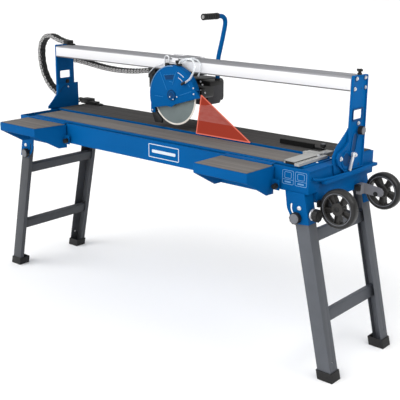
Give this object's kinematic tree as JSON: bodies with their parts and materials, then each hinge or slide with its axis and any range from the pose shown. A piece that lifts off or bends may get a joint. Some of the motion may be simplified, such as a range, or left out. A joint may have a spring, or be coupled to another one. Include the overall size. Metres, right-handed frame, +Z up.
{
  "type": "tile cutter",
  "caption": "Rail-guided wet tile cutter: folding legs, water basin, split table, extension tables, tilting guide rail and plunging saw head.",
  "frame": {"origin": "middle of the whole cutter's bounding box, on the floor", "axes": "+X along the rail towards the wheel end, +Y to the back, +Z up"},
  "size_m": [1.9452, 0.635, 1.213],
  "materials": {
    "blue_paint": "semi-gloss powder coat",
    "aluminium": "satin extruded",
    "leg_steel": "satin dark grey coat",
    "black_plastic": "moulded, fine grain",
    "black_metal": "matt black coat",
    "motor_grey": "charcoal, fine grain",
    "front_rubber": "warm grey, streaked",
    "rear_rubber": "dark grey, streaked",
    "grip_rubber": "ribbed",
    "blade_steel": "ground disc with a pale diamond rim",
    "bright_steel": "zinc plated",
    "switch_plastic": "green rocker",
    "clear_hose": "clear vinyl, water inside"
  },
  "bodies": {
    "root": {"basin": "blue_paint", "pump": "black_plastic", "front_table": "blue_paint", "rear_table": "blue_paint", "front_mat": "front_rubber", "rear_mat": "rear_rubber", "quadrant_left": "blue_paint", "quadrant_right": "blue_paint", "chain_foot": "black_plastic", "chain_arch": "black_plastic", "fence_rail": "aluminium", "wheel_arm_front": "leg_steel", "wheel_arm_rear": "leg_steel"},
    "leg_left": {"post_front_left": "leg_steel", "post_rear_left": "leg_steel", "crossbar_upper_left": "leg_steel", "crossbar_lower_left": "leg_steel", "shoe_front_left": "black_plastic", "shoe_rear_left": "black_plastic"},
    "leg_right": {"post_front_right": "leg_steel", "post_rear_right": "leg_steel", "crossbar_upper_right": "leg_steel", "crossbar_lower_right": "leg_steel", "shoe_front_right": "black_plastic", "shoe_rear_right": "black_plastic"},
    "extension_left": {"ext_table_left": "blue_paint", "ext_mat_left": "front_rubber"},
    "extension_right": {"ext_table_right": "blue_paint", "ext_mat_right": "front_rubber"},
    "bridge": {"rail": "aluminium", "upright_left": "blue_paint", "upright_right": "blue_paint", "chain_clamp": "black_plastic", "chain_run": "black_plastic"},
    "carriage": {"carriage": "leg_steel"},
    "head": {"head": "black_metal", "motor": "motor_grey", "guard": "blue_paint", "laser": "black_plastic", "handle_tube": "blue_paint", "handle_grip": "grip_rubber", "hose": "clear_hose"},
    "blade": {"blade": "blade_steel", "blade_flange": "bright_steel"},
    "splash_flap": {"splash_flap": "black_plastic"},
    "switch": {"switch": "switch_plastic"},
    "depth_screw": {"depth_screw": "black_plastic"},
    "tilt_knob_left": {"tilt_knob_left": "black_plastic"},
    "tilt_knob_right": {"tilt_knob_right": "black_plastic"},
    "tilt_lever": {"tilt_lever": "bright_steel"},
    "rail_knob": {"rail_knob": "black_plastic"},
    "fence_bar": {"fence_bar": "black_metal"},
    "fence_knob": {"fence_knob": "black_plastic"},
    "leg_knob_left": {"leg_knob_left": "black_plastic"},
    "leg_knob_right": {"leg_knob_right": "black_plastic"},
    "wheel_arm_knob": {"wheel_arm_knob": "black_plastic"},
    "ext_knob_left": {"ext_knob_left": "black_plastic"},
    "ext_knob_right": {"ext_knob_right": "black_plastic"},
    "wheel_front": {"wheel_front": "black_plastic"},
    "wheel_rear": {"wheel_rear": "black_plastic"}
  },
  "joints": [
    {"name": "leg_fold_left", "type": "hinge", "parent": "root", "child": "leg_left", "pos_m": [-0.69842, 0.0435, 0.607], "axis": [0, -1, 0], "range_deg": [0, 102.6]},
    {"name": "leg_fold_right", "type": "hinge", "parent": "root", "child": "leg_right", "pos_m": [0.79358, 0.0435, 0.607], "axis": [0, 1, 0], "range_deg": [0, 102.6]},
    {"name": "bridge_tilt", "type": "hinge", "parent": "root", "child": "bridge", "pos_m": [0.04758, 0.042, 0.745], "axis": [1, 0, 0], "range_deg": [0, 45], "deforming": ["chain_arch"]},
    {"name": "carriage_slide", "type": "slide", "parent": "bridge", "child": "carriage", "axis": [1, 0, 0], "range_m": [-0.55, 0.52], "deforming": ["chain_run"]},
    {"name": "head_plunge", "type": "hinge", "parent": "carriage", "child": "head", "pos_m": [-0.07742, 0.1195, 0.95], "axis": [0, 1, 0], "range_deg": [0, 16]},
    {"name": "blade_spin", "type": "hinge", "parent": "head", "child": "blade", "pos_m": [0.03108, 0.042, 0.88], "axis": [0, 1, 0], "continuous": true},
    {"name": "splash_flap_swing", "type": "hinge", "parent": "head", "child": "splash_flap", "pos_m": [-0.08542, 0.0415, 0.82], "axis": [0, 1, 0], "range_deg": [0, 30]},
    {"name": "switch_press", "type": "slide", "parent": "head", "child": "switch", "axis": [1, 0, 0], "range_m": [0, 0.003], "stiffness_N_per_m": 400},
    {"name": "depth_screw_turn", "type": "hinge", "parent": "carriage", "child": "depth_screw", "pos_m": [0.03958, 0.0515, 1.015], "axis": [0, 0, 1], "continuous": true},
    {"name": "extension_slide_left", "type": "slide", "parent": "root", "child": "extension_left", "axis": [1, 0, 0], "range_m": [-0.06, 0.38]},
    {"name": "extension_slide_right", "type": "slide", "parent": "root", "child": "extension_right", "axis": [1, 0, 0], "range_m": [-0.38, 0.1]},
    {"name": "ext_knob_turn_left", "type": "hinge", "parent": "extension_left", "child": "ext_knob_left", "pos_m": [-0.39442, -0.1765, 0.672], "axis": [0, 1, 0], "continuous": true},
    {"name": "ext_knob_turn_right", "type": "hinge", "parent": "extension_right", "child": "ext_knob_right", "pos_m": [0.70308, -0.1765, 0.672], "axis": [0, 1, 0], "continuous": true},
    {"name": "leg_knob_turn_left", "type": "hinge", "parent": "root", "child": "leg_knob_left", "pos_m": [-0.69042, -0.1755, 0.572], "axis": [0, 1, 0], "continuous": true},
    {"name": "leg_knob_turn_right", "type": "hinge", "parent": "root", "child": "leg_knob_right", "pos_m": [0.78558, -0.1755, 0.572], "axis": [0, 1, 0], "continuous": true},
    {"name": "wheel_arm_knob_turn", "type": "hinge", "parent": "root", "child": "wheel_arm_knob", "pos_m": [0.85058, -0.1385, 0.586], "axis": [1, 0, 0], "continuous": true},
    {"name": "tilt_knob_turn_left", "type": "hinge", "parent": "bridge", "child": "tilt_knob_left", "pos_m": [-0.75842, 0.1255, 0.84], "axis": [1, 0, 0], "continuous": true},
    {"name": "tilt_knob_turn_right", "type": "hinge", "parent": "bridge", "child": "tilt_knob_right", "pos_m": [0.85358, 0.1255, 0.84], "axis": [1, 0, 0], "continuous": true},
    {"name": "tilt_lever_turn", "type": "hinge", "parent": "bridge", "child": "tilt_lever", "pos_m": [0.84558, 0.0845, 0.76], "axis": [1, 0, 0], "range_deg": [-40, 60]},
    {"name": "rail_knob_turn", "type": "hinge", "parent": "bridge", "child": "rail_knob", "pos_m": [0.83458, 0.1155, 1.045], "axis": [0, 0, 1], "continuous": true},
    {"name": "fence_bar_swing", "type": "hinge", "parent": "root", "child": "fence_bar", "pos_m": [0.69758, 0.1215, 0.753], "axis": [0, 0, 1], "range_deg": [-40, 0]},
    {"name": "fence_knob_turn", "type": "hinge", "parent": "root", "child": "fence_knob", "pos_m": [0.69758, 0.1215, 0.762], "axis": [0, 0, 1], "continuous": true},
    {"name": "wheel_spin_front", "type": "hinge", "parent": "root", "child": "wheel_front", "pos_m": [0.90358, -0.0895, 0.61], "axis": [0, 1, 0], "continuous": true},
    {"name": "wheel_spin_rear", "type": "hinge", "parent": "root", "child": "wheel_rear", "pos_m": [0.90358, 0.2155, 0.61], "axis": [0, 1, 0], "continuous": true}
  ]
}
